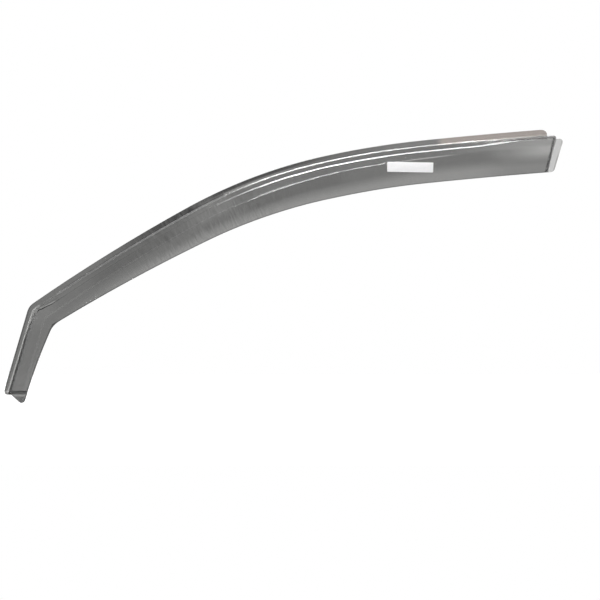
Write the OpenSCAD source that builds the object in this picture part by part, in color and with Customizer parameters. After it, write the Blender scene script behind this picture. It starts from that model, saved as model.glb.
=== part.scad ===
// Window rain deflector for a front door, left-hand side.
// One formed acrylic sheet: a flat flange that sits in the window channel, a wall that steps
// outwards round three sides, and a crowned band that stands off the glass. A blank film
// label is stuck on the band.
// X runs towards the rear of the car, Z up, and -Y outwards. The back of the flange lies in
// the plane Y = 0, and the origin is on it, in the middle of the arch.

/* [Sheet] */
// Thickness of the acrylic sheet
sheet_t = 3; // [2:0.1:3.6]

/* [Outline of the flange] */
// Rise of the leg above the horizontal, in degrees
leg_rise = 73.6; // [55:0.1:89]
// Straight length of the leg, from its foot to the elbow
leg_l = 126.3; // [90:0.1:180]
// Turn of the elbow, in degrees
elbow_turn = 38.9; // [20:0.1:55]
// Radius of the elbow on the flange's edge
elbow_r = 22; // [14:0.5:40]
// Length of the front run, from the elbow to the arch
front_l = 264; // [180:1:340]
// Turn of the front run, in degrees
front_turn = 5.8; // [0:0.1:12]
// Length of the arch
arch_l = 214; // [140:1:300]
// Turn of the arch, in degrees
arch_turn = 16.4; // [6:0.1:26]
// Length of the shoulder behind the arch
shoulder_l = 144; // [90:1:220]
// Turn of the shoulder, in degrees
shoulder_turn = 6.6; // [0:0.1:12]
// Length of the rear run, to the rear corner
rear_l = 202.5; // [150:0.5:280]
// Turn of the rear run, in degrees
rear_turn = 1.7; // [0:0.1:6]

/* [Widths, from the flange's edge to the free edge] */
// Width at the foot of the leg
foot_w = 33.8; // [30:0.1:40]
// Width of the leg at the elbow
leg_top_w = 43.4; // [36:0.1:50]
// Width of the front run at the elbow
elbow_w = 42.5; // [36:0.1:52]
// Width where the front run meets the arch
arch_w = 56.6; // [46:0.1:66]
// Width in the middle of the arch
arch_middle_w = 60.8; // [48:0.1:70]
// Width over the shoulder and the rear run
rear_w = 63; // [50:0.1:75]
// How far the rounding of the free edge reaches past the elbow, each way
elbow_reach = 18; // [12:0.5:30]

/* [Flange and step] */
// Width of the flange on the leg
leg_flange_w = 6.8; // [5:0.1:9]
// Width of the flange along the top
flange_w = 8.3; // [7:0.1:12]
// Width of the flange near the rear end
rear_flange_w = 9.6; // [8:0.1:12]
// How far the band steps out from the flange
step_h = 9; // [6:0.1:12]
// Ground that the wall covers on the leg
leg_wall_run = 3; // [2.5:0.1:8]
// Ground that the wall covers along the top
wall_run = 8; // [5:0.1:10]
// Ground that the wall covers near the rear end
rear_wall_run = 3.2; // [3:0.1:9]
// Ground that the wall covers past the end of the flange, at the rear corner
corner_wall_run = 1.8; // [1.6:0.1:3]
// Ground that the end wall covers at the rear
end_wall_run = 1.6; // [1.2:0.1:6]
// Ground that the end wall covers at the foot
foot_wall_run = 1.6; // [1.2:0.1:6]
// Radius of the bend between flange and wall, on the outer face
low_bend_r = 2; // [1:0.1:3]
// Radius of the bend between wall and band, on the outer face
high_bend_r = 4; // [3.8:0.1:5]
// Radius of the bend at the foot of an end wall, on the outer face
end_low_bend_r = 1; // [0.5:0.1:2]
// Radius of the bend at the top of an end wall, on the outer face
end_high_bend_r = 3.6; // [3.4:0.1:5]
// Radius of the wall's rear corner, seen square to the glass
corner_r = 6; // [3:0.5:9]

/* [Band] */
// Upper band, from the wall to the crease
upper_band_l = 10.5; // [8:0.1:13]
// Slope of the upper band away from the glass, in degrees
upper_slope = 12; // [4:0.5:16]
// Slope below the crease, in degrees
lower_slope = 6; // [0:0.5:12]
// Slope at the free edge, in degrees, below zero where the band turns back in
hem_slope = -5; // [-10:0.5:4]
// Radius of the crease
crease_r = 12; // [6:0.5:20]

/* [Ends] */
// Lean of the rear end line away from square, in degrees
rear_lean = 17.4; // [0:0.1:30]
// Lean of the foot's end line away from square, in degrees
foot_lean = 16.4; // [0:0.1:25]
// How far the flange stops short of the rear corner
flange_short = 15; // [10:0.5:25]
// Length of the rounded nose that ends the flange
nose_l = 12; // [6:0.5:16]
// Length of the rounded corner of the flange at the foot
foot_nose_l = 11; // [4:0.5:12]
// Width of the rear tab at its top, past the end wall
tab_w = 10.5; // [8:0.1:20]
// Width of the rear tab along the free edge
tab_low_w = 7.4; // [7:0.1:16]
// Drop of the rear tab's top below the flange's edge
tab_drop = 15; // [12.5:0.1:20]
// Radius of the rear tab's upper corner
tab_top_r = 4.6; // [3:0.1:6]
// Radius of the rear tab's lower corner
tab_low_r = 7; // [4:0.1:7.4]
// Reach of the foot's tongue along the free edge, to its sharp corner
tongue_reach = 17.8; // [12:0.5:26]
// Start of the tongue's slanted side, along the foot from the flange's edge
tongue_start = 11.5; // [8:0.1:14]
// Radius of the tongue's tip
tongue_tip_r = 5.5; // [3:0.1:7]

/* [Label] */
// Length of the label
label_l = 67; // [30:0.5:90]
// Height of the label
label_h = 14.5; // [8:0.5:20]
// Thickness of the label
label_t = 0.2; // [0.15:0.05:0.4]
// Radius of the label's corners
label_r = 1; // [0.5:0.1:3]
// Distance of the label's middle behind the start of the shoulder
label_back = 124; // [60:1:140]
// Distance of the label's middle from the flange's edge
label_down = 37; // [34:0.5:42]
// Tilt of the label, in degrees, above zero where its rear end is up
label_tilt = -1; // [-6:0.5:8]

/* [Hidden] */

// The flange's edge, or rim, as runs of length and turn from the foot to the rear corner
elbow_l = elbow_r * elbow_turn * PI / 180;
RUNS = [
    [leg_l, 0],
    [elbow_l, elbow_turn],
    [front_l, front_turn],
    [arch_l, arch_turn],
    [shoulder_l, shoulder_turn],
    [rear_l, rear_turn]
];

// Distances along the rim at which the runs meet
front_s = leg_l + elbow_l;
arch_s = front_s + front_l;
shoulder_s = arch_s + arch_l;
rear_s = shoulder_s + shoulder_l;
end_s = rear_s + rear_l;
middle_s = arch_s + arch_l / 2;

// Stations in each run, and steps round each bend
leg_steps = 9;
elbow_steps = 8;
front_steps = 16;
arch_steps = 18;
shoulder_steps = 10;
rear_steps = 14;
nose_steps = 4;
low_bend_steps = 3;
high_bend_steps = 4;
crease_steps = 2;
crown_steps = 4;
corner_steps = 8;

// Lengths over which the sheet changes from one form to the next
elbow_blend_l = 60;
rear_blend_l = 65;
rear_blend_back = 127;
lean_settle_l = 130;
end_square_l = 25;
width_soften_l = 30;
// Flat lip left outside the walls, and the part of it that stays clear of the tab and tongue
lip = 0.6;
lip_clear = 0.2;
// Step left between the free edge and the sides of the tab and tongue
hem_clear = 0.3;
// Gap of the label's adhesive
glue_t = 0.02;
// Largest share of the rear corner's radius at which its gradient is taken
corner_limit = 0.97;
// Rows taken past the label's ends, and a depth that passes the whole part
label_margin = 25;
label_reach = 40;

// Direction of a heading in the window plane, and the direction square to it, into the sheet
function along(heading) = [cos(heading), sin(heading)];
function across(heading) = [sin(heading), -cos(heading)];
function unit(v) = v / norm(v);
function clamp(f) = max(0, min(1, f));
function ease(f) = let (c = clamp(f)) c * c * (3 - 2 * c);
function blend(a, b, f) = a + (b - a) * f;

// Where a run leads to from its start
function run_move(heading, length, turn) =
    let (
        half = turn / 2,
        chord = abs(half) < 0.001 ? length : length * sin(half) / (half * PI / 180)
    )
    chord * along(heading - half);

function run_start(n) = n == 0 ? 0 : run_start(n - 1) + RUNS[n - 1][0];
function run_heading(n) = n == 0 ? leg_rise : run_heading(n - 1) - RUNS[n - 1][1];
function run_point(n) = n == 0
    ? [0, 0]
    : run_point(n - 1) + run_move(run_heading(n - 1), RUNS[n - 1][0], RUNS[n - 1][1]);
STARTS = [for (n = [0 : len(RUNS) - 1]) [run_start(n), run_point(n), run_heading(n)]];

// Point and heading of the rim at a distance from the foot
function run_at(s) = max([for (n = [0 : len(RUNS) - 1]) s >= STARTS[n][0] ? n : 0]);
function rim_heading(s) =
    let (n = run_at(s))
    STARTS[n][2] - RUNS[n][1] * (s - STARTS[n][0]) / RUNS[n][0];
function rim_point(s) =
    let (n = run_at(s), d = s - STARTS[n][0])
    STARTS[n][1] + run_move(STARTS[n][2], d, RUNS[n][1] * d / RUNS[n][0]);

// Width from the rim to the free edge, or hem
WIDTHS = [
    [front_s - width_soften_l, elbow_w - width_soften_l * (arch_w - elbow_w) / front_l],
    [arch_s, arch_w],
    [middle_s, arch_middle_w],
    [shoulder_s, rear_w],
    [end_s, rear_w]
];
function top_width(s) =
    (lookup(s - width_soften_l, WIDTHS) + 2 * lookup(s, WIDTHS)
        + lookup(s + width_soften_l, WIDTHS)) / 4;
function leg_width(s) = foot_w + (leg_top_w - foot_w) * pow(s / leg_l, 2);
function hem_width(s) = s < leg_l ? leg_width(s) : top_width(s);
function hem_point(s) = rim_point(s) + across(rim_heading(s)) * hem_width(s);
function hem_heading(s) = rim_heading(s) - atan(hem_width(s + 0.5) - hem_width(s - 0.5));

// Crossing of two lines, each through a point along a heading
function meet(p, a, q, b) =
    p + along(a) * ((q - p) * across(b)) / (along(a) * across(b));
function curve(a, m, b, f) = a * pow(1 - f, 2) + 2 * m * f * (1 - f) + b * f * f;

// The free edge's rounded corner inside the elbow
hem_in = hem_point(leg_l - elbow_reach);
hem_out = hem_point(front_s + elbow_reach);
hem_corner = meet(
    hem_in, hem_heading(leg_l - elbow_reach),
    hem_out, hem_heading(front_s + elbow_reach)
);

// How far ahead of its rim point a station meets the free edge
foot_shift = foot_w * tan(foot_lean);
rear_shift = -rear_w * tan(rear_lean);
function leg_shift(s) =
    blend(foot_shift, -elbow_reach, clamp((s - end_square_l / 2) / (leg_l - end_square_l / 2)));
function top_shift(s) =
    elbow_reach * (1 - ease((s - front_s) / lean_settle_l))
    + rear_shift * ease((s - end_s + lean_settle_l) / (lean_settle_l - end_square_l));
function station_hem(s) =
    s <= leg_l ? hem_point(s + leg_shift(s)) :
    s < front_s ? curve(hem_in, hem_corner, hem_out, (s - leg_l) / elbow_l) :
    hem_point(s + top_shift(s));

// Flange width and wall run at a distance along the rim
function past_elbow(s) = ease((s - leg_l + elbow_reach) / elbow_blend_l);
function near_rear(s) = ease((s - end_s + rear_blend_back) / rear_blend_l);
function near_corner(s) = ease((s - nose_s + nose_l) / nose_l);
function flange_at(s) =
    blend(blend(leg_flange_w, flange_w, past_elbow(s)), rear_flange_w, near_rear(s))
    + (rear_wall_run - corner_wall_run) * near_corner(s);
function wall_run_at(s) =
    blend(blend(leg_wall_run, wall_run, past_elbow(s)), rear_wall_run, near_rear(s))
    - (rear_wall_run - corner_wall_run) * near_corner(s);
function crease_at(s) = past_elbow(s) * (1 - near_rear(s));
function low_bend_at(s) = blend(low_bend_r, end_low_bend_r, near_corner(s));

// The rim is rounded off towards both ends, down to a lip beside the wall
function low_bend_flat(r, run) = r * tan(atan(step_h / run) / 2);
rear_lip_v = rear_flange_w + rear_wall_run - corner_wall_run
    - low_bend_flat(end_low_bend_r, corner_wall_run) - lip / 2;
foot_lip_v = leg_flange_w - low_bend_flat(low_bend_r, leg_wall_run) - lip / 2;
function nose(d, l, depth) = d <= 0 ? 0 : depth * (1 - sqrt(1 - pow(min(1, d / l), 2)));
function rim_trim(s) =
    nose(s - end_s + flange_short + nose_l, nose_l, rear_lip_v)
    + nose(foot_nose_l - s, foot_nose_l, foot_lip_v)
    + corner_in(s);

// How far the wall turns in at the rear corner, and its gradient along the rim
function corner_share(s) = clamp((s - end_s + corner_r) / corner_r);
function corner_in(s) = corner_r * (1 - sqrt(1 - pow(corner_share(s), 2)));
function corner_gradient(s) =
    let (c = min(corner_share(s), corner_limit))
    c / sqrt(1 - c * c);

// A bend at a corner of the profile, from slope a to slope b: place, height and gradient
function bend(corner, a, b, r, steps) =
    let (
        side = a > b ? 1 : -1,
        start = corner - r * tan(abs(b - a) / 2) * along(a)
    )
    [
        for (j = [0 : steps])
            let (
                slope = blend(a, b, j / steps),
                p = start + side * r * [sin(a) - sin(slope), cos(slope) - cos(a)]
            )
            [p.x, p.y, tan(slope)]
    ];

// Profile across the sheet at one station, out to the free edge at the distance reach
function profile(s, reach) =
    let (
        flange = flange_at(s) + corner_in(s),
        run = wall_run_at(s),
        steep = atan(step_h / run),
        low = blend(upper_slope, lower_slope, crease_at(s)),
        crease = [
            flange + run + upper_band_l,
            step_h + upper_band_l * tan(upper_slope)
        ],
        crease_bend = bend(crease, upper_slope, min(low, upper_slope - 0.1), crease_r, crease_steps),
        top = crease_bend[crease_steps],
        span = reach - top[0]
    )
    concat(
        [[rim_trim(s), 0, 0]],
        bend([flange, 0], 0, steep, low_bend_at(s), low_bend_steps),
        bend([flange + run, step_h], steep, upper_slope, high_bend_r, high_bend_steps),
        crease_bend,
        [
            for (j = [1 : crown_steps])
                let (f = j / crown_steps, fall = top[2] - tan(hem_slope))
                [
                    top[0] + span * f,
                    top[1] + span * (top[2] * f - fall * f * f / 2),
                    top[2] - fall * f
                ]
        ]
    );

// Rise of an end wall with the distance inside its foot: place, share of the height, gradient
function end_rise(run) =
    let (
        steep = atan(step_h / run),
        corner = [end_low_bend_r * tan(steep / 2), 0]
    )
    [
        for (p = concat(
            [[-lip, 0, 0]],
            bend(corner, 0, steep, end_low_bend_r, low_bend_steps),
            bend(corner + [run, step_h], steep, 0, end_high_bend_r, high_bend_steps)
        ))
            [p[0], p[1] / step_h, p[2] / step_h]
    ];
foot_rise = end_rise(foot_wall_run);
rear_rise = end_rise(end_wall_run);

// Stations along the rim, as distance, share of the height, its gradient, and side of the end
foot_top_s = foot_rise[len(foot_rise) - 1][0] / cos(foot_lean);
nose_s = end_s - flange_short - nose_l;
SPANS = [
    [foot_top_s, leg_l, leg_steps],
    [leg_l, front_s, elbow_steps],
    [front_s, arch_s, front_steps],
    [arch_s, shoulder_s, arch_steps],
    [shoulder_s, rear_s, shoulder_steps],
    [rear_s, nose_s, rear_steps]
];
STATIONS = concat(
    [for (p = foot_rise) [p[0] / cos(foot_lean), p[1], p[2], 1]],
    [for (span = SPANS, j = [1 : span[2]]) [blend(span[0], span[1], j / span[2]), 1, 0, 1]],
    [for (j = [1 : nose_steps]) [nose_s + nose_l * sin(90 * j / nose_steps), 1, 0, 1]],
    [
        for (j = [len(rear_rise) - 1 : -1 : 0])
            let (p = rear_rise[j])
            [end_s - p[0] / cos(rear_lean), p[1], p[2], -1]
    ]
);

// Frame of a station: rim point, direction across the sheet, square direction, their cosine
function frame_of(s) =
    let (
        rim = rim_point(s),
        over = unit(station_hem(s) - rim),
        square = across(rim_heading(s))
    )
    [rim, over, square, over * square];

// Points of one station on the outer face, each with its outward normal
function station_points(station) =
    let (
        s = station[0],
        frame = frame_of(s),
        inward = station[3] * along(rim_heading(s)),
        ahead = unit(inward - frame[1] * (frame[1] * inward)),
        reach = (station_hem(s) - frame[0]) * frame[2]
    )
    [
        for (p = profile(s, reach))
            let (
                place = frame[0] + frame[1] * p[0] / frame[3] - origin,
                ahead_slope = p[1] * station[2] + p[2] * station[1] * corner_gradient(s),
                lean = frame[2] * p[2] * station[1] + ahead * ahead_slope
            )
            [
                [place.x, -sheet_t - p[1] * station[1], place.y],
                unit([-lean.x, -1, -lean.y])
            ]
    ];

// The part's origin, in the middle of the flange's back at the middle of the arch
origin = rim_point(middle_s) + across(rim_heading(middle_s)) * flange_at(middle_s) / 2;
GRID = [for (station = STATIONS) station_points(station)];

// Rows of points at a height above the outer face, or below it where negative
function face_at(grid, height) = [for (row = grid) [for (p = row) p[0] + p[1] * height]];

// Solid between two faces, each given as rows of points
module slab(outer, inner) {
    rows = len(outer);
    columns = len(outer[0]);
    back = rows * columns;
    function at(i, k) = i * columns + k;
    function two(a, b, c, d) = [[a, b, c], [a, c, d]];
    polyhedron(
        points = concat([for (row = outer) each row], [for (row = inner) each row]),
        faces = concat(
            [
                for (i = [0 : rows - 2], k = [0 : columns - 2])
                    each two(at(i, k), at(i + 1, k), at(i + 1, k + 1), at(i, k + 1))
            ],
            [
                for (i = [0 : rows - 2], k = [0 : columns - 2])
                    each two(
                        back + at(i, k), back + at(i, k + 1),
                        back + at(i + 1, k + 1), back + at(i + 1, k)
                    )
            ],
            [
                for (i = [0 : rows - 2])
                    each two(at(i + 1, 0), at(i, 0), back + at(i, 0), back + at(i + 1, 0))
            ],
            [
                for (i = [0 : rows - 2], k = columns - 1)
                    each two(at(i, k), at(i + 1, k), back + at(i + 1, k), back + at(i, k))
            ],
            [
                for (k = [0 : columns - 2])
                    each two(at(0, k), at(0, k + 1), back + at(0, k + 1), back + at(0, k))
            ],
            [
                for (i = rows - 1, k = [0 : columns - 2])
                    each two(at(i, k + 1), at(i, k), back + at(i, k), back + at(i, k + 1))
            ]
        )
    );
}

// Outline with round corners, from corners given as a point and a radius
function rounded(corners) =
    let (n = len(corners))
    [
        for (i = [0 : n - 1])
            let (
                p = corners[i][0],
                r = corners[i][1],
                u = unit(corners[(i + n - 1) % n][0] - p),
                v = unit(corners[(i + 1) % n][0] - p),
                half = acos(u * v) / 2,
                centre = p + unit(u + v) * r / sin(half),
                from = p + u * r / tan(half) - centre,
                turn = (u.x * v.y - u.y * v.x > 0 ? -1 : 1) * (180 - 2 * half)
            )
            for (j = [0 : r > 0 ? corner_steps : 0])
                r > 0 ? centre + r * along(atan2(from.y, from.x) + turn * j / corner_steps) : p
    ];

// Flat piece of an outline in the window plane, from the plane of the glass outwards
module plate(outline, thickness) {
    rotate([90, 0, 0])
        linear_extrude(thickness)
            translate(-origin)
                polygon(outline);
}

// Point beside an end line, by its distances from the rim and outside the end wall's foot
function beside_end(s, side, v, outside) =
    let (frame = frame_of(s))
    frame[0] + (frame[1] * v + side * along(rim_heading(s)) * outside) / frame[3];
function end_hem_v(s) =
    let (frame = frame_of(s))
    (station_hem(s) - frame[0]) * frame[2] - hem_clear;

module rear_tab() {
    low_v = end_hem_v(end_s);
    plate(rounded([
        [beside_end(end_s, 1, tab_drop, lip_clear), 0],
        [beside_end(end_s, 1, tab_drop, tab_w), tab_top_r],
        [beside_end(end_s, 1, low_v, tab_low_w), tab_low_r],
        [beside_end(end_s, 1, low_v, lip_clear), 0]
    ]), sheet_t);
}

module front_tongue() {
    low_v = end_hem_v(0);
    plate(rounded([
        [beside_end(0, -1, tongue_start * cos(foot_lean), lip_clear), 0],
        [beside_end(0, -1, low_v, lip_clear), 0],
        [beside_end(0, -1, low_v, tongue_reach * cos(foot_lean)), tongue_tip_r]
    ]), sheet_t);
}

module deflector() {
    color([0.42, 0.42, 0.42])
        union() {
            slab(face_at(GRID, 0), face_at(GRID, -sheet_t));
            rear_tab();
            front_tongue();
        }
}

// Where the label lies: its stations, and the columns of the band below the upper bend
label_s = shoulder_s + label_back;
label_middle = rim_point(label_s) + across(rim_heading(label_s)) * label_down;
LABEL_ROWS = [
    for (i = [0 : len(STATIONS) - 1])
        if (abs(STATIONS[i][0] - label_s) < label_l / 2 + label_margin) i
];
band_column = 1 + low_bend_steps + 1 + high_bend_steps;
LABEL_GRID = [
    for (i = LABEL_ROWS)
        [for (k = [band_column : len(GRID[0]) - 1]) GRID[i][k]]
];

module label() {
    half = [label_l, label_h] / 2;
    color([0.95, 0.95, 0.95])
        intersection() {
            slab(face_at(LABEL_GRID, glue_t + label_t), face_at(LABEL_GRID, glue_t));
            plate(rounded([
                for (corner = [[-1, -1], [1, -1], [1, 1], [-1, 1]])
                    [
                        label_middle + corner.x * half.x * along(label_tilt)
                            - corner.y * half.y * across(label_tilt),
                        label_r
                    ]
            ]), label_reach);
        }
}

deflector();
label();
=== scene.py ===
# %% [markdown]
# # A window rain deflector, in cells
#
# A rain deflector is one sheet of smoked acrylic, heated and drawn down over a tool. Its flat
# flange slips into the window channel, a wall steps outwards, and a crowned band keeps the
# rain off the gap above a lowered window. This script loads the part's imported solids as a
# fixed frame, gives the sheet its cut edges and its tinted material, makes a plain film
# label, and sets a quiet studio round it. Lengths are in metres, X runs to the rear of the
# car, Z up, and -Y outwards from the window.

# %% Load the frame
import math

import bmesh
import bpy
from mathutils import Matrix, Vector
from mathutils.kdtree import KDTree


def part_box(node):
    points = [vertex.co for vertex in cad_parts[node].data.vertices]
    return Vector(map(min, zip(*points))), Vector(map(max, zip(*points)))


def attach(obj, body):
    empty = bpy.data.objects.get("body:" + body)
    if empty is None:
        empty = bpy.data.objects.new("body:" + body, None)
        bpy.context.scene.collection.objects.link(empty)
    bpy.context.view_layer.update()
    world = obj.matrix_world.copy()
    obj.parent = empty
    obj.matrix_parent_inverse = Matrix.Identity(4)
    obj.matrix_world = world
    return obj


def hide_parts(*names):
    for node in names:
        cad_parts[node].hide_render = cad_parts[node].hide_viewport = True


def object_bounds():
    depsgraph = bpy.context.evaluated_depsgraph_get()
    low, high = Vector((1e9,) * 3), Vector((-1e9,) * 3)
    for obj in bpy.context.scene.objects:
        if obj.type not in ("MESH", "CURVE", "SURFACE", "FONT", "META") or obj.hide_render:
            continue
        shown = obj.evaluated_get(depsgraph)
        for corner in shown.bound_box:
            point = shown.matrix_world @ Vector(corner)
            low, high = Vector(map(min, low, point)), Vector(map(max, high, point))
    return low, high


MM = 0.001
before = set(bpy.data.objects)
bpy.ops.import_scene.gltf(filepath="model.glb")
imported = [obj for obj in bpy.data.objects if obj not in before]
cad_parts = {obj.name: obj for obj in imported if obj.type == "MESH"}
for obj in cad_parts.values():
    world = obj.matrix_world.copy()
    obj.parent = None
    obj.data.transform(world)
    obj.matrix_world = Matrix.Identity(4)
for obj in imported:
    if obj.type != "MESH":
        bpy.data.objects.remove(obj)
cad_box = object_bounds()
print("solids:", sorted(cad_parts), "box:", [tuple(round(v, 4) for v in c) for c in cad_box])

# %% [markdown]
# ## The formed sheet
#
# The solid already has the sheet's true form, so its mesh is copied rather than built again.
# The copy arrives as loose triangles, which would show as flat facets in a polished surface.
# Merging the doubled points joins them, so that smooth shading can carry a reflection along
# the bends in one line, as on real acrylic.

# %% Copy the sheet and join its triangles
DOUBLED = 0.002 * MM
SLIVER = 0.001 * MM


def copy_of(node, name):
    """A piece with its own merged copy of a solid's mesh."""
    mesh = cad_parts[node].data.copy()
    mesh.name = name
    piece = bpy.data.objects.new(name, mesh)
    bpy.context.scene.collection.objects.link(piece)
    shape = bmesh.new()
    shape.from_mesh(mesh)
    bmesh.ops.remove_doubles(shape, verts=shape.verts, dist=DOUBLED)
    bmesh.ops.dissolve_degenerate(shape, edges=shape.edges, dist=SLIVER)
    shape.to_mesh(mesh)
    shape.free()
    mesh.materials.clear()
    return piece


sheet = copy_of("deflector", "formed_sheet")
print("sheet:", len(sheet.data.vertices), "points,", len(sheet.data.polygons), "faces")

# %% [markdown]
# The edge of the sheet is sawn and then flame-polished, so it is slightly rounded and always
# carries a thin bright or dark line. A bevel on the sharp edges alone gives it that line. The
# angle test finds the cut edges, because the formed bends turn only a little at each step.
# Weighted normals then keep the broad faces beside the small round even.

# %% Round the cut edges
CUT_ANGLE = math.radians(50)
EDGE_ROUND = 0.35 * MM
EDGE_STEPS = 2


def round_cut_edges(piece, width):
    """Bevels the edges of a piece that are sharper than the cut angle."""
    shape = bmesh.new()
    shape.from_mesh(piece.data)
    sharp = [e for e in shape.edges if e.is_manifold and e.calc_face_angle() > CUT_ANGLE]
    bmesh.ops.bevel(
        shape, geom=sharp, offset=width, offset_type="OFFSET", segments=EDGE_STEPS,
        profile=0.5, affect="EDGES", material=-1, clamp_overlap=True,
    )
    open_edges = sum(not e.is_manifold for e in shape.edges)
    shape.to_mesh(piece.data)
    shape.free()
    return len(sharp), open_edges


print("cut edges and open edges:", round_cut_edges(sheet, EDGE_ROUND))
sheet.data.shade_smooth()
weighted = sheet.modifiers.new("even_shading", "WEIGHTED_NORMAL")
weighted.keep_sharp = True

# %% [markdown]
# ## Shader maths as Python
#
# A material is a graph of nodes, which is hard to read when each link is typed by hand. One
# small class wraps a socket, so that sums and products of values can be written as plain
# expressions. Every node comes from one function, which sets it first and then fills its
# sockets, each with a plain value or with a wire from another node.

# %% Add a node and fill its sockets
def fill(made, *sockets):
    """Links a wire to a socket of a node, or sets a plain value on it."""
    for name, value in sockets:
        if isinstance(value, Wire):
            value.tree.links.new(value.socket, made.inputs[name])
        else:
            made.inputs[name].default_value = value


def add_node(tree, kind, *sockets, output=0, **settings):
    """Adds a node with its settings and sockets, and returns the wire of one output."""
    made = tree.nodes.new(kind)
    for name, value in settings.items():
        setattr(made, name, value)
    fill(made, *sockets)
    return Wire(tree, made.outputs[output])


print("nodes come from", add_node.__name__)

# %% A socket that can be added and multiplied
class Wire:
    """An output socket in a node tree, for expressions on values."""

    def __init__(self, tree, socket):
        self.tree, self.socket = tree, socket

    def node(self, kind, *sockets, **settings):
        """Adds a node beside this one, and returns the wire of its output."""
        return add_node(self.tree, kind, *sockets, **settings)

    def math(self, operation, other, turned=False):
        pair = (other, self) if turned else (self, other)
        return self.node("ShaderNodeMath", (0, pair[0]), (1, pair[1]), operation=operation)

    def __add__(self, other):
        return self.math("ADD", other)

    def __radd__(self, other):
        return self.math("ADD", other, True)

    def __sub__(self, other):
        return self.math("SUBTRACT", other)

    def __rsub__(self, other):
        return self.math("SUBTRACT", other, True)

    def __mul__(self, other):
        return self.math("MULTIPLY", other)

    def __rmul__(self, other):
        return self.math("MULTIPLY", other, True)

    def between(self, low, high):
        """0 below low and 1 above high, with a soft change from one to the other."""
        return self.node(
            "ShaderNodeMapRange", (0, self), (1, low), (2, high), interpolation_type="SMOOTHSTEP",
        )

    def over(self, start, full, fades, gone):
        """0 up to start, 1 from full to where it fades, and 0 again where it is gone."""
        return self.between(start, full) * (1 - self.between(fades, gone))

    def beside(self, output):
        """Another output of the same node."""
        return Wire(self.tree, self.socket.node.outputs[output])

    def parts(self):
        """The three parts of a vector."""
        split = self.node("ShaderNodeSeparateXYZ", (0, self))
        return [split.beside(axis) for axis in "XYZ"]


print("wires can be added, subtracted and multiplied")

# %% [markdown]
# Every finish here starts from a Principled shader and reads Object coordinates, which lie in
# the part's own frame and so turn with it. Places are given in millimetres, as on a drawing.

# %% Start a finish
def new_finish(name):
    """A material and its Principled shader."""
    finish = bpy.data.materials.new(name)
    finish.use_nodes = True
    return finish, finish.node_tree.nodes["Principled BSDF"]


def object_place(tree):
    """The point's place on the part, in metres."""
    return add_node(tree, "ShaderNodeTexCoord", output="Object")


def drawing_place(tree):
    """How far the point is to the rear and up, in millimetres."""
    x, _, z = (part * (1 / MM) for part in object_place(tree).parts())
    return x, z


def blend(share, first, second):
    """A colour between two others."""
    return share.node(
        "ShaderNodeMix", (0, share), (6, first), (7, second), data_type="RGBA", output=2,
    )


def scaled(colour, tone):
    """A colour made lighter or darker."""
    return colour.node("ShaderNodeVectorMath", (0, colour), ("Scale", tone), operation="SCALE")


print("finishes start from Object coordinates in steps of", MM, "m")

# %% [markdown]
# ## A place on the sheet for every point
#
# The tint, its painted light and shade, the tool marks and the painted pale run of the flange
# follow the sheet, not the room. So each point stores how far along the rim it lies, how far
# in from the rim, and how far it is from the free edge, the hem. A UV map could hold two of
# these, but an attribute holds all three. The rim is drawn again from its runs, each a length
# and a turn.

# %% Draw the rim again
RIM_RUNS = [(126.3, 0), (14.9, 38.9), (264, 5.8), (214, 16.4), (144, 6.6), (202.5, 1.7)]
RIM_RISE = 73.6
RIM_START = Vector((-367.03, 0, -313.05)) * MM


def rim_points():
    """Points of the rim, one for each millimetre, from the foot to the rear corner."""
    points, heading, place = [RIM_START.copy()], RIM_RISE, RIM_START.copy()
    for length, turn in RIM_RUNS:
        steps = round(length)
        for _ in range(steps):
            heading -= turn / steps
            angle = math.radians(heading)
            place = place + Vector((math.cos(angle), 0, math.sin(angle))) * length / steps * MM
            points.append(place)
    return points


rim = rim_points()
print("rear corner of the rim:", [round(v, 4) for v in rim[-1]])

# %% Width of the sheet along the rim
LEG_LENGTH = 126.3
FOOT_WIDTH = 33.8
ELBOW_WIDTH = 43.4
TOP_WIDTHS = [(111.2, 40.9), (405.2, 56.6), (512.2, 60.8), (619.2, 63), (966, 63)]
SOFTEN = 30


def top_width(reach):
    """Width of the top run at a distance along the rim, straight between the given widths."""
    for (start, first), (end, last) in zip(TOP_WIDTHS, TOP_WIDTHS[1:]):
        if reach <= end:
            return first + (last - first) * max(0, reach - start) / (end - start)
    return TOP_WIDTHS[-1][1]


def sheet_width(reach):
    """Width of the sheet in millimetres at a distance along the rim."""
    if reach < LEG_LENGTH:
        return FOOT_WIDTH + (ELBOW_WIDTH - FOOT_WIDTH) * (reach / LEG_LENGTH) ** 2
    return (top_width(reach - SOFTEN) + 2 * top_width(reach) + top_width(reach + SOFTEN)) / 4


print("widths of the sheet:", [round(sheet_width(reach), 1) for reach in (0, 130, 400, 900)])

# %% Store each point's place on the sheet
def store_places(piece, points):
    """Stores at each point its millimetres along the rim, in from it and up from the hem."""
    tree = KDTree(len(points))
    for index, point in enumerate(points):
        tree.insert(point, index)
    tree.balance()
    places = piece.data.attributes.new("sheet_place", "FLOAT_VECTOR", "POINT")
    for vertex, stored in zip(piece.data.vertices, places.data):
        _, reach, distance = tree.find((vertex.co.x, 0, vertex.co.z))
        stored.vector = (reach, distance / MM, sheet_width(reach) - distance / MM)
    return len(places.data)


print("places stored:", store_places(sheet, rim))
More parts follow.
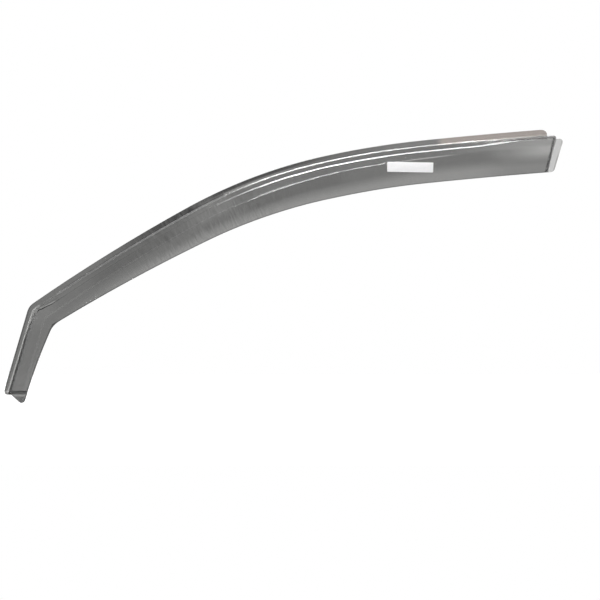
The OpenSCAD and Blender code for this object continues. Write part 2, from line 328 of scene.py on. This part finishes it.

# %% [markdown]
# ## Smoked acrylic
#
# The tint is in the plastic, not on it, so a longer path through the sheet looks darker: the
# bends and the end walls show as dark lines. A transmissive shader with a volume that absorbs
# light does this by itself. A tone from black to clear multiplies the colour, and it carries
# painted light and shade: painted highlights, painted dark lines, and patches painted lighter
# or darker.
#
# The tone is one clear level with soft patches added to it, rather than one formula for each.
# A patch has a name, how much lighter or darker it is, its place in from the rim, and its
# stretch along the rim. A place is four distances in millimetres: where the patch starts,
# where it is full, where it fades and where it is gone.

# %% Soft lines and patches
FROM_EDGE = (-2, -1)
TO_END = (1000, 1001)


def lines_tone(lines, across):
    """The sum of soft lines, each a strength and a place."""
    return sum(strength * across.over(*place) for strength, place in lines.values())


def patches_tone(patches, across, along):
    """The sum of soft patches, each a strength, a place and a stretch."""
    return sum(
        strength * across.over(*place) * along.over(*stretch)
        for strength, place, stretch in patches.values()
    )


print("a patch with no end runs past the sheet, to", TO_END[0], "mm")

# %% [markdown]
# Over the band the tone changes slowly. Painted light makes the sheet lighter towards its hem
# and at its rear end, and painted shade makes it a little darker in the middle of the front run
# and of the arch. The painted light at the hem follows the sheet's changing width, so it is a
# small function. The rest are patches, among them a painted dark line at the rear corner.

# %% Tones of the band
# Painted light and painted shade on the band, and a painted dark line at the rear corner.
BAND_PATCHES = {
    "upper band behind the elbow": (0.045, (9, 10, 24, 36), (95, 125, 150, 180)),
    "upper band of the front run": (-0.07, (9, 10, 24, 36), (200, 265, 350, 415)),
    "upper band before the arch": (0.045, (9, 10, 24, 36), (390, 420, 455, 485)),
    "middle of the arch": (-0.035, (15, 20, 42, 47), (460, 500, 620, 660)),
    "under the rear bend": (0.11, (9, 10, 22, 27), (780, 870, 880, 970)),
    "rear end": (0.24, (9, 10, 31, 48), (850, 960, *TO_END)),
    "middle of the rear end": (0.16, (20, 27, 31, 48), (850, 960, *TO_END)),
    "painted dark line of the rear corner": (-0.26, (8.5, 9.1, 10.5, 11.1), (876, 902, *TO_END)),
}
# Painted light towards the hem.
HEM_PAINTED_LIGHT = 0.205
REAR_HEM_DROP = 0.08
REAR_HEM_WIDENS = 0.10
FRONT_HEM_SHARE = 0.10


def painted_hem_light(along, share):
    """Painted light towards the free edge, from the share of the way across the sheet."""
    nearness = (share + REAR_HEM_WIDENS * along.between(620, 820)).between(0.66, 0.96)
    lift = HEM_PAINTED_LIGHT - REAR_HEM_DROP * along.between(830, 900)
    return nearness * lift * (FRONT_HEM_SHARE + (1 - FRONT_HEM_SHARE) * along.between(120, 400))


print("patches on the band:", ", ".join(BAND_PATCHES))

# %% [markdown]
# The flange is flat and lies against the window channel. Painted shade darkens it over the
# front, and painted light makes it paler from the arch on, and pale and warm on its rear run.
# The bend below it is dull on the front run and would look pale there, so it gets painted
# shade. Painted highlights lie on that bend over the arch and before the elbow, and painted
# shade below the leg's wall.

# %% Tones of the flange
# Painted shade and painted highlights on the flange and the bend below it.
FLANGE_PATCHES = {
    "front run": (-0.175, (*FROM_EDGE, 3.6, 5.0), (240, 370, 540, 670)),
    "paler stretch of the front run": (0.07, (*FROM_EDGE, 3.6, 5.0), (405, 420, 440, 455)),
    "inner half of the front run": (-0.15, (3.6, 4.6, 6.4, 7.4), (240, 370, 400, 438)),
    "inner half before the arch": (-0.05, (4.0, 4.8, 6.2, 7.0), (397, 405, 458, 466)),
    "bend over the arch": (0.18, (5.0, 5.8, 9.0, 9.8), (461, 464, 540, 590)),
    "bend of the front run": (-0.15, (5.9, 6.8, 9.0, 9.9), (180, 200, 463, 470)),
    "bend before the elbow": (0.14, (7.2, 7.8, 9.4, 10.0), (84, 100, 116, 132)),
    "below the leg's wall": (-0.05, (9.5, 11, 15, 16.5), (*FROM_EDGE, 85, 112)),
}
# Painted light on the flange's rear run, and rising towards it.
RISE_TO_REAR = 0.08
REAR_PAINTED_LIGHT = 0.36


def rear_run(along, inward):
    """1 on the rear run of the flange."""
    return (1 - inward.between(8.6, 9.6)) * along.between(784, 796)


def painted_rear_light(along, inward, rear):
    """Painted light: the flange grows paler towards its rear run, which is paler still."""
    rise = (1 - inward.between(7, 8.5)) * along.between(660, 770) * (1 - rear)
    return rise * RISE_TO_REAR + rear * REAR_PAINTED_LIGHT


print("patches on the flange:", ", ".join(FLANGE_PATCHES))

# %% [markdown]
# Three sets of lines don't run level with the rim, so each first gets a distance of its own.
# On the leg a painted highlight and the painted dark line under it lean away from the rim. The
# foot of the wall moves inwards round the elbow, and carries a painted highlight, with a
# painted dark line behind the elbow. Past the label the crease of the band fades, and a
# painted highlight on its faint end dips.

# %% Lines that lean
# Painted highlight and painted dark line on the leg.
LEG_LEAN = 0.011
SHADOW_LEAN = 0.9 * LEG_LEAN
LEG_PAINTED_HIGHLIGHT = 0.21
LEG_LIGHT_WIDENS = 1.5
LEG_PAINTED_SHADE = 0.24
WALL_FOOT = 9.8
WALL_FOOT_SHIFT = 7.0
# Painted highlights along the foot of the wall, and a painted dark line behind the elbow.
WALL_FOOT_PAINTED_LINES = {
    "foot of the wall": (0.09, (-1.6, -0.8, 0.8, 1.6), (78, 128, 440, 490)),
    "foot of the wall at the elbow": (0.34, (-1.6, -0.8, 0.8, 1.6), (117, 132, 162, 177)),
    "dark line behind the elbow": (-0.11, (-3.4, -2.7, -1.3, -0.6), (146, 154, 170, 178)),
}
# Painted highlight on the crease's faint end, which dips.
CREASE_DIP = 0.02
CREASE_DIPS_FROM = 775
CREASE_END_HIGHLIGHT = {"painted highlight at the crease's end": (0.29, (24.9, 25.5, 26.5, 27.1), (710, 745, 780, 825))}


def leg_painted_lines(along, inward):
    """The leg's painted highlight, which widens towards the elbow, and its painted dark line."""
    light_place = inward - along * LEG_LEAN
    wider = LEG_LIGHT_WIDENS * along.between(88, 118)
    light = light_place.over(4.1, 4.8, wider + 7.3, wider + 8.0) * (1 - along.between(145, 149))
    shadow = (inward - along * SHADOW_LEAN).over(7.9, 8.5, 9.9, 10.5)
    return light * LEG_PAINTED_HIGHLIGHT - shadow * (1 - along.between(85, 112)) * LEG_PAINTED_SHADE


def painted_leaning_lines(along, inward):
    """All painted highlights and dark lines that lean, from places on the sheet."""
    past_foot = inward - (WALL_FOOT + WALL_FOOT_SHIFT * along.between(98, 186))
    dipped = inward + (along - CREASE_DIPS_FROM) * CREASE_DIP
    return (
        leg_painted_lines(along, inward) + patches_tone(WALL_FOOT_PAINTED_LINES, past_foot, along)
        + patches_tone(CREASE_END_HIGHLIGHT, dipped, along)
    )


print("lines that lean:", ", ".join([*WALL_FOOT_PAINTED_LINES, *CREASE_END_HIGHLIGHT]))

# %% [markdown]
# At the two ends the sheet steps back to the glass. The rear tab gets painted light inside its
# edge and a painted dark line along it, both slanting with the end of the sheet. The foot's
# wall is a painted dark line under a painted highlight, with a painted light strip and painted
# shade on the tip of the tongue below.

# %% Tones of the two ends
END_SLANT = 0.282
# Painted light inside the rear tab, and a painted dark line along its edge.
TAB_PAINTED_LINES = {
    "rear tab": (0.66, (424.5, 425.1, *TO_END)),
    "edge of the rear tab": (-0.34, (431.9, 433.1, *TO_END)),
}
# Painted highlights and painted dark lines at the foot, and painted shade on the tongue's tip.
FOOT_PAINTED_LINES = {
    "edge over the foot's wall": (0.20, (-310.5, -310.0, -308.4, -307.9)),
    "wall of the foot": (-0.14, (-313.4, -313.0, -311.8, -311.4)),
    "strip below the wall": (0.06, (-315.9, -315.4, -313.6, -313.1)),
    "tip of the tongue": (-0.10, (-401, -400, -317.2, -316.2)),
}


def painted_end_lines(x, z):
    """Painted light and shade on the rear tab and the foot, from places in millimetres."""
    return lines_tone(TAB_PAINTED_LINES, x - z * END_SLANT) + lines_tone(FOOT_PAINTED_LINES, z)


print("lines at the ends:", ", ".join([*TAB_PAINTED_LINES, *FOOT_PAINTED_LINES]))

# %% [markdown]
# Two finer things finish the tone. The sawn edges get a painted dark line all round, thickest
# on the leg. The warm tool leaves faint streaks across the sheet, strongest over the arch. Noise
# that is stretched in one direction draws such streaks.

# %% Tones of the cut edges and the tool
# Painted dark lines along the cut edges.
RIM_DARK = 0.05
LEG_RIM_DARK = 0.09
LEG_RIM_WIDER = 1.2
HEM_DARK = 0.20
STREAKS_ALONG = 0.36
STREAKS_ACROSS = 0.06
STREAK_TONE = 0.22
STREAKS_ELSEWHERE = 0.25


def painted_edge_shade(along, inward, to_hem):
    """Painted dark lines along the sawn rim and hem."""
    from_rim = inward - LEG_RIM_WIDER * (1 - along.between(120, 150))
    rim_dark = RIM_DARK + LEG_RIM_DARK * (1 - along.between(150, 260))
    return (1 - from_rim.between(0.3, 1.5)) * rim_dark + HEM_DARK * (1 - to_hem.between(1.2, 2.2))


def tool_marks(along, inward):
    """Faint streaks across the sheet, from below 0 to above."""
    drawn = along.node(
        "ShaderNodeCombineXYZ", (0, along * STREAKS_ALONG), (1, inward * STREAKS_ACROSS),
    )
    noise = drawn.node(
        "ShaderNodeTexNoise", ("Vector", drawn), ("Scale", 1.0), ("Detail", 2.0),
        noise_dimensions="3D",
    )
    return (noise - 0.5) * (STREAKS_ELSEWHERE + along.over(270, 360, 470, 560)) * STREAK_TONE


print("streaks to a centimetre:", round(STREAKS_ALONG * 10, 1))

# %% [markdown]
# The surface is polished, but the upper bend is dulled by the tool on the front run and at the
# rear end, and mirrors no lamp there. Over the arch the upper slope, 12 degrees, carries on a
# little way past the crease before the band's 6 degrees begin. A bump of a few tenths of a
# millimetre turns the reflection so, and leaves the solid's own form alone.

# %% Polish and crease
POLISH = 0.10
DULL_PATCHES = {
    "bend of the front run": (0.60, (6.7, 7.2, 9.6, 10.1), (174, 180, 462, 468)),
    "bend at the rear end": (0.35, (6.7, 7.2, 9.6, 10.1), (862, 882, *TO_END)),
}
CREASE_PLACE = 26.4
CREASE_SOFT = 0.4
CREASE_DRIFT = 2.9
CREASE_RISE = math.tan(math.radians(12)) - math.tan(math.radians(6))


def crease_height(along, inward):
    """Millimetres of height that carry the upper slope a little past the crease."""
    drift = (1 - along.between(525, 685)) * CREASE_DRIFT
    past = inward.between(CREASE_PLACE - CREASE_SOFT, drift + (CREASE_PLACE + CREASE_SOFT))
    return past * drift * CREASE_RISE


print("height past the crease, mm:", round(CREASE_DRIFT * CREASE_RISE, 2))

# %% [markdown]
# All of it comes together in one Principled shader: the tone scales a nearly white colour,
# which carries painted warm light on the flange's rear run, and the volume absorbs the rest.
# The absorbed colour and its density are the same everywhere, so they are plain values on
# their own sockets.

# %% Make the acrylic
CLEAR_TONE = 0.26
SHEET_WHITE = (1.0, 1.0, 0.985, 1)
# Painted warm light on the flange's rear run.
REAR_PAINTED_WARM_LIGHT = (1.0, 0.90, 0.84, 1)
ACRYLIC_IOR = 1.49
SMOKE_TINT = (0.012, 0.012, 0.0, 1)
SMOKE_DENSITY = 200.0


def sheet_tone_with_painted_light(tree, along, inward, to_hem, rear):
    """How clear the sheet is at a point, with painted light and shade added."""
    share = inward.math("DIVIDE", inward + to_hem)
    x, z = drawing_place(tree)
    return (
        CLEAR_TONE + painted_hem_light(along, share) + patches_tone(BAND_PATCHES, inward, along)
        + patches_tone(FLANGE_PATCHES, inward, along) + painted_rear_light(along, inward, rear)
        + painted_leaning_lines(along, inward) + painted_end_lines(x, z)
        - painted_edge_shade(along, inward, to_hem) + tool_marks(along, inward)
    )


def smoked_acrylic():
    """The tinted clear material of the sheet."""
    finish, shader = new_finish("smoked_acrylic")
    tree = finish.node_tree
    stored = add_node(tree, "ShaderNodeAttribute", attribute_name="sheet_place", output="Vector")
    along, inward, to_hem = stored.parts()
    rear = rear_run(along, inward)
    tone = sheet_tone_with_painted_light(tree, along, inward, to_hem, rear)
    bump = tone.node(
        "ShaderNodeBump", ("Height", crease_height(along, inward)), ("Distance", MM), ("Strength", 1.0),
    )
    fill(
        shader, ("Base Color", scaled(blend(rear, SHEET_WHITE, REAR_PAINTED_WARM_LIGHT), tone)),
        ("Roughness", POLISH + patches_tone(DULL_PATCHES, inward, along)),
        ("Normal", bump), ("IOR", ACRYLIC_IOR), ("Transmission Weight", 1.0),
    )
    smoke = add_node(
        tree, "ShaderNodeVolumeAbsorption", ("Color", SMOKE_TINT), ("Density", SMOKE_DENSITY),
    )
    fill(tree.nodes["Material Output"], ("Volume", smoke))
    return finish


sheet.data.materials.append(smoked_acrylic())
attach(sheet, "root")
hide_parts("deflector")
print("acrylic on", sheet.name, "nodes:", len(sheet.data.materials[0].node_tree.nodes))

# %% [markdown]
# ## The label
#
# The film label lies on the band and follows its curve. Its solid is thin but already bent to
# the band, so a merged copy is enough. It is bare. Its face inside the margin is coated, which
# makes it a little cooler and smoother, and the film has a fine grain that shows close up. The
# margin is found from the label's middle and its tilt, so the finish needs no UV map.

# %% Find the label's coated face
LABEL_SIZE = (67, 14.5)
LABEL_TILT = math.radians(-1)
LABEL_MARGIN = 1.6
MARGIN_SOFT = 0.5


def inside_margin(distance, size):
    """1 where a distance from the label's middle is inside the margin."""
    half = size / 2 - LABEL_MARGIN
    return distance.over(-half - MARGIN_SOFT, -half, half, half + MARGIN_SOFT)


def coated_face(tree):
    """1 on the label's coated face and 0 on its bare margin."""
    low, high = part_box("label")
    middle = (low + high) / 2 / MM
    x, z = drawing_place(tree)
    right, up = x - middle.x, z - middle.z
    length = right * math.cos(LABEL_TILT) + up * math.sin(LABEL_TILT)
    height = up * math.cos(LABEL_TILT) - right * math.sin(LABEL_TILT)
    return inside_margin(length, LABEL_SIZE[0]) * inside_margin(height, LABEL_SIZE[1])


label = copy_of("label", "film_label")
print("label:", len(label.data.vertices), "points,", len(label.data.polygons), "faces")

# %% Make the label's film
FILM_WHITE = (0.995, 0.995, 0.99, 1)
COATED_WHITE = (0.975, 0.975, 0.99, 1)
FILM_ROUGH = 0.48
COATING_SMOOTHS = 0.08
GRAIN_SCALE = 1400.0
GRAIN_TONE = 0.03
GRAIN_ROUGH = 0.2
GRAIN_DEPTH = 0.01 * MM


def label_film():
    """White film: a bare margin round a coated face, with a fine grain all over."""
    finish, shader = new_finish("label_film")
    tree = finish.node_tree
    face, place = coated_face(tree), object_place(tree)
    grain = place.node(
        "ShaderNodeTexNoise", ("Vector", place), ("Scale", GRAIN_SCALE), ("Detail", 3.0),
        noise_dimensions="3D",
    ) - 0.5
    bump = grain.node(
        "ShaderNodeBump", ("Height", grain), ("Distance", GRAIN_DEPTH), ("Strength", 1.0),
    )
    white = blend(face, FILM_WHITE, COATED_WHITE)
    fill(
        shader, ("Base Color", scaled(white, 1 + grain * GRAIN_TONE)),
        ("Roughness", FILM_ROUGH - face * COATING_SMOOTHS + grain * GRAIN_ROUGH), ("Normal", bump),
    )
    return finish


label.data.materials.append(label_film())
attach(label, "root")
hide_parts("label")
print("film on", label.name, "nodes:", len(label.data.materials[0].node_tree.nodes))

# %% [markdown]
# ## Studio
#
# A clear part shows its room twice, in reflections and through itself. So the world is plain
# white to the camera, in reflections and through the sheet, and softer as a lamp, which keeps
# white things from burning out. Light Path tells the two uses apart.

# %% World
SKY_LIGHT = 0.7
WHITE = (1, 1, 1, 1)


def seen_rays(tree):
    """1 for rays from the camera, from a reflection and through glass."""
    camera_ray = add_node(tree, "ShaderNodeLightPath", output="Is Camera Ray")
    reflected = camera_ray.math("MAXIMUM", camera_ray.beside("Is Glossy Ray"))
    return reflected.math("MAXIMUM", camera_ray.beside("Is Transmission Ray"))


world = bpy.data.worlds.new("studio")
world.use_nodes = True
bpy.context.scene.world = world
strength = seen_rays(world.node_tree) * (1 - SKY_LIGHT) + SKY_LIGHT
fill(world.node_tree.nodes["Background"], ("Color", WHITE), ("Strength", strength))
print("world:", world.name, "as a lamp:", SKY_LIGHT)

# %% [markdown]
# The part would hang from a window, but here its foot touches a plain pale floor. One wide
# face is enough. It glows a little where it is seen, so that it meets the white world without
# a line, and it gives the part no extra light.

# %% Floor
FLOOR_HALF = 3.0
FLOOR_COLOUR = (0.9, 0.9, 0.9, 1)
FLOOR_ROUGH = 0.8
FLOOR_LIFT = 0.45


def floor_paint():
    """Pale matt paint that glows only where it is seen."""
    finish, shader = new_finish("floor_paint")
    fill(
        shader, ("Base Color", FLOOR_COLOUR), ("Roughness", FLOOR_ROUGH), ("Emission Color", WHITE),
        ("Emission Strength", seen_rays(finish.node_tree) * FLOOR_LIFT),
    )
    return finish


floor_mesh = bpy.data.meshes.new("floor")
floor_shape = bmesh.new()
bmesh.ops.create_grid(floor_shape, x_segments=1, y_segments=1, size=FLOOR_HALF)
bmesh.ops.translate(floor_shape, verts=floor_shape.verts, vec=(0, 0, cad_box[0].z))
floor_shape.to_mesh(floor_mesh)
floor_shape.free()
floor_mesh.materials.append(floor_paint())
floor = bpy.data.objects.new("floor", floor_mesh)
bpy.context.scene.collection.objects.link(floor)
print("floor at", round(cad_box[0].z, 4), "m")

# %% [markdown]
# Polished acrylic shows a lamp as a line along each bend. A row of flat lamps hangs above and
# in front of the part, where its two bends mirror them. Each lamp covers its own stretch of
# the part, so the lines are brightest where lamps overlap over the arch, and fade on the front
# run. A strip further out is mirrored by the crease. Two weak panels stand at the sides, for
# the ends and the side views. All show in reflections alone, so the label and the floor stay
# evenly lit.

# %% Lamps
OVERHEAD_DEPTH = 1.50
OVERHEAD_OUT = -0.86
OVERHEAD_UP = 1.0
OVERHEAD_STEP = 0.01
OVERHEAD = [
    (-0.56, 0.32, 6), (-0.46, 0.32, 6), (-0.40, 0.32, 9), (-0.37, 0.32, 8),
    (-0.37, -0.02, 7), (-0.37, 0.08, 7), (0.32, 0.56, 8),
]
OTHER_LAMPS = {
    "strip": ((-0.085, -2.4, 0.79), (-0.085, 0, 0), (0.49, 0.28), 30),
    "left_side": ((-1.5, -1.2, 0.12), (-0.5, -1.2, 0.12), (2.0, 2.4), 3),
    "right_side": ((1.6, -1.2, 0.12), (0.6, -1.2, 0.12), (0.9, 2.0), 6),
}


def panel(name, place, aim, size, white):
    """An area light of a size in metres that faces a point, as bright as white times a number."""
    light = bpy.data.lights.new(name, "AREA")
    light.shape = "RECTANGLE"
    light.size, light.size_y = size
    light.energy = white * math.pi * size[0] * size[1]
    lamp = bpy.data.objects.new(name, light)
    lamp.location = place
    lamp.rotation_euler = (Vector(aim) - Vector(place)).to_track_quat("-Z", "Y").to_euler()
    lamp.visible_camera = False
    lamp.visible_diffuse = False
    bpy.context.scene.collection.objects.link(lamp)
    return lamp


for order, (left, right, white) in enumerate(OVERHEAD):
    middle = (left + right) / 2
    place = (middle, OVERHEAD_OUT, OVERHEAD_UP + order * OVERHEAD_STEP)
    panel("overhead", place, (middle, OVERHEAD_OUT, 0), (right - left, OVERHEAD_DEPTH), white)
for name, (place, aim, size, white) in OTHER_LAMPS.items():
    panel(name, place, aim, size, white)
print("lamps:", len(OVERHEAD) + len(OTHER_LAMPS))

# %% [markdown]
# The part is seen square on from outside the car, from far away, so that its sides don't
# spread. The lens follows from the distance and from the millimetres that one pixel covers at
# the middle of the band's depth.

# %% Camera
PICTURE = 600
PIXEL = 1.46 * MM
DISTANCE = 8.0
SENSOR = 36
VIEW_MIDDLE = Vector((66.8, -5, -175.3)) * MM

camera_data = bpy.data.cameras.new("camera")
camera_data.sensor_width = SENSOR
camera_data.lens = SENSOR * DISTANCE / (PICTURE * PIXEL)
camera = bpy.data.objects.new("camera", camera_data)
camera.location = VIEW_MIDDLE + Vector((0, -DISTANCE, 0))
camera.rotation_euler = (math.radians(90), 0, 0)
bpy.context.scene.collection.objects.link(camera)
bpy.context.scene.camera = camera
bpy.context.scene.view_settings.view_transform = "Standard"
print("lens:", round(camera_data.lens, 1), "mm")
